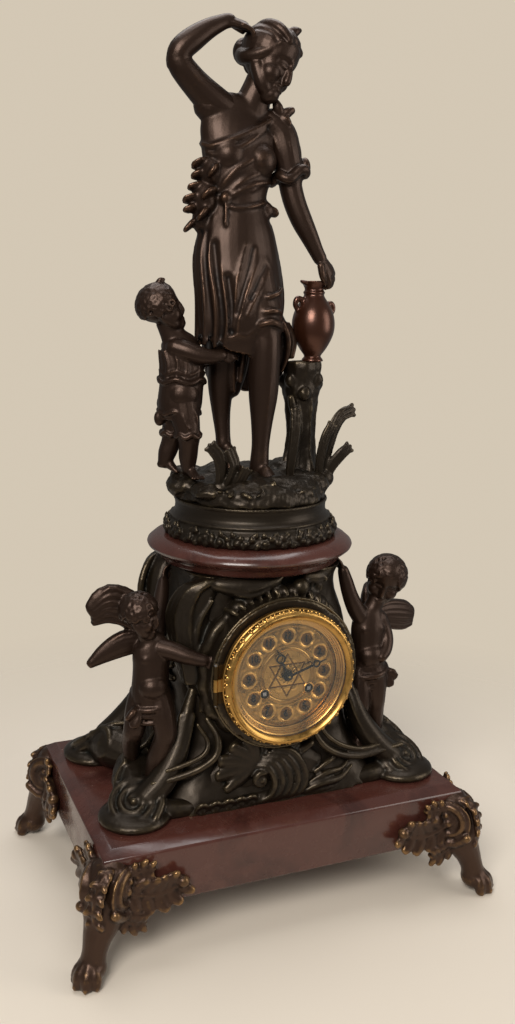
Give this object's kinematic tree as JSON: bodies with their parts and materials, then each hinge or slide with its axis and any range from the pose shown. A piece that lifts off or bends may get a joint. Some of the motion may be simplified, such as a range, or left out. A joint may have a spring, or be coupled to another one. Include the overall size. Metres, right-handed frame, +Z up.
{
  "type": "figural mantel clock",
  "caption": "Striking mantel clock in dark bronzed castings: draped woman with child and ewer above a scrolled case with putti, on a red marble plinth with paw feet.",
  "frame": {"origin": "on the table under the middle of the plinth", "axes": "+Z up, -Y out of the dial, +X to the viewer's right of the dial"},
  "size_m": [0.3962, 0.2808, 0.7568],
  "materials": {
    "dark_bronze": "satin",
    "green_bronze": "satin",
    "ewer_bronze": "polished",
    "red_marble": "polished",
    "gilt": "satin",
    "brass": "satin",
    "bell_metal": "polished",
    "steel": "satin",
    "dark_steel": "satin",
    "glass": "polished"
  },
  "bodies": {
    "clock": {"marble_plinth": "red_marble", "foot_front_left": "dark_bronze", "foot_front_right": "dark_bronze", "foot_rear_left": "dark_bronze", "foot_rear_right": "dark_bronze", "foot_bolts": "steel", "case_bolts": "steel", "case_body": "green_bronze", "case_scrolls": "green_bronze", "case_apron": "green_bronze", "putto_left": "dark_bronze", "putto_right": "dark_bronze", "marble_cap": "red_marble", "socle": "dark_bronze", "figure_stud": "steel", "terrace": "green_bronze", "lady_body": "dark_bronze", "lady_head": "dark_bronze", "lady_raised_arm": "dark_bronze", "lady_lowered_arm": "dark_bronze", "child_body": "dark_bronze", "ewer": "ewer_bronze", "stump": "green_bronze", "leaf_sprays": "green_bronze", "dial_pan": "brass", "dial": "gilt", "front_plate": "brass", "back_plate": "brass", "plate_pillars": "brass", "winding_clicks": "steel", "back_cock": "brass", "bell": "bell_metal", "bell_stand": "steel", "movement_straps": "brass", "rear_ring": "brass", "hinge_pins": "steel"},
    "bezel_door": {"bezel": "gilt", "bezel_glass": "glass", "sight_ring": "gilt"},
    "back_door": {"rear_door": "brass"},
    "centre": {"centre_wheel": "brass", "cannon_pinion": "brass", "minute_hand": "dark_steel"},
    "hour": {"hour_wheel": "brass", "hour_hand": "dark_steel"},
    "motion": {"minute_wheel": "brass"},
    "second": {"second_wheel": "brass"},
    "going_drum": {"going_barrel": "brass"},
    "third": {"third_wheel": "brass"},
    "escape": {"escape_wheel": "brass"},
    "going_key_arbor": {"going_winding_arbor": "steel"},
    "strike_key_arbor": {"strike_winding_arbor": "steel"},
    "strike_drum": {"strike_barrel": "brass"},
    "strike_second": {"strike_second_wheel": "brass"},
    "pins": {"pin_wheel": "brass"},
    "air_brake": {"fly": "steel"},
    "anchor": {"pallets": "steel"},
    "pendulum_bob": {"pendulum": "brass"},
    "striker": {"hammer": "steel"}
  },
  "joints": [
    {"name": "bezel_swing", "type": "hinge", "parent": "clock", "child": "bezel_door", "pos_m": [-0.065, -0.0895, 0.221], "axis": [0, 0, -1], "range_deg": [0, 100]},
    {"name": "rear_door_swing", "type": "hinge", "parent": "clock", "child": "back_door", "pos_m": [0.061, 0.0696, 0.221], "axis": [0, 0, -1], "range_deg": [0, 110]},
    {"name": "minute_turn", "type": "hinge", "parent": "clock", "child": "centre", "pos_m": [0, -0.06, 0.221], "axis": [0, 1, 0], "continuous": true},
    {"name": "hour_turn", "type": "hinge", "parent": "clock", "child": "hour", "pos_m": [0, -0.06, 0.221], "axis": [0, 1, 0], "continuous": true},
    {"name": "motion_turn", "type": "hinge", "parent": "clock", "child": "motion", "pos_m": [0, -0.06, 0.2066], "axis": [0, 1, 0], "continuous": true},
    {"name": "second_turn", "type": "hinge", "parent": "clock", "child": "second", "pos_m": [0.01405, -0.06, 0.22414], "axis": [0, 1, 0], "continuous": true},
    {"name": "going_barrel_turn", "type": "hinge", "parent": "clock", "child": "going_drum", "pos_m": [0.0205, -0.06, 0.2068], "axis": [0, 1, 0], "continuous": true},
    {"name": "third_turn", "type": "hinge", "parent": "clock", "child": "third", "pos_m": [0, -0.06, 0.2354], "axis": [0, 1, 0], "continuous": true},
    {"name": "escape_turn", "type": "hinge", "parent": "clock", "child": "escape", "pos_m": [0.0066, -0.06, 0.24683], "axis": [0, 1, 0], "continuous": true},
    {"name": "going_winding_turn", "type": "hinge", "parent": "clock", "child": "going_key_arbor", "pos_m": [0.0205, -0.06, 0.2068], "axis": [0, 1, 0], "continuous": true},
    {"name": "strike_winding_turn", "type": "hinge", "parent": "clock", "child": "strike_key_arbor", "pos_m": [-0.0205, -0.06, 0.2068], "axis": [0, 1, 0], "continuous": true},
    {"name": "pin_wheel_turn", "type": "hinge", "parent": "clock", "child": "pins", "pos_m": [-0.02423, -0.06, 0.23653], "axis": [0, 1, 0], "continuous": true},
    {"name": "strike_barrel_turn", "type": "hinge", "parent": "clock", "child": "strike_drum", "pos_m": [-0.0205, -0.06, 0.2068], "axis": [0, 1, 0], "continuous": true},
    {"name": "strike_second_turn", "type": "hinge", "parent": "clock", "child": "strike_second", "pos_m": [-0.01597, -0.06, 0.22474], "axis": [0, 1, 0], "continuous": true},
    {"name": "fly_turn", "type": "hinge", "parent": "clock", "child": "air_brake", "pos_m": [-0.03438, -0.06, 0.23284], "axis": [0, 1, 0], "continuous": true},
    {"name": "pendulum_swing", "type": "hinge", "parent": "clock", "child": "pendulum_bob", "pos_m": [0, -0.031, 0.2645], "axis": [0, 1, 0], "range_deg": [-4, 4]},
    {"name": "pallet_rock", "type": "hinge", "parent": "clock", "child": "anchor", "pos_m": [0, -0.046, 0.2575], "axis": [0, 1, 0], "range_deg": [-4.9, 4.9]},
    {"name": "hammer_lift", "type": "hinge", "parent": "clock", "child": "striker", "pos_m": [-0.0085, -0.05, 0.2485], "axis": [0, 1, 0], "range_deg": [0, 12]}
  ],
  "couplings": [
    {"joint": "hour_turn", "follows": "minute_turn", "ratio": 0.083333},
    {"joint": "motion_turn", "follows": "minute_turn", "ratio": -0.33333},
    {"joint": "second_turn", "follows": "minute_turn", "ratio": -0.18519},
    {"joint": "going_barrel_turn", "follows": "minute_turn", "ratio": 0.028935},
    {"joint": "third_turn", "follows": "minute_turn", "ratio": -4},
    {"joint": "escape_turn", "follows": "minute_turn", "ratio": 16},
    {"joint": "strike_second_turn", "follows": "pin_wheel_turn", "ratio": -0.18519},
    {"joint": "strike_barrel_turn", "follows": "pin_wheel_turn", "ratio": 0.028935},
    {"joint": "fly_turn", "follows": "pin_wheel_turn", "ratio": -5},
    {"joint": "pallet_rock", "follows": "pendulum_swing", "ratio": 1.2188}
  ]
}
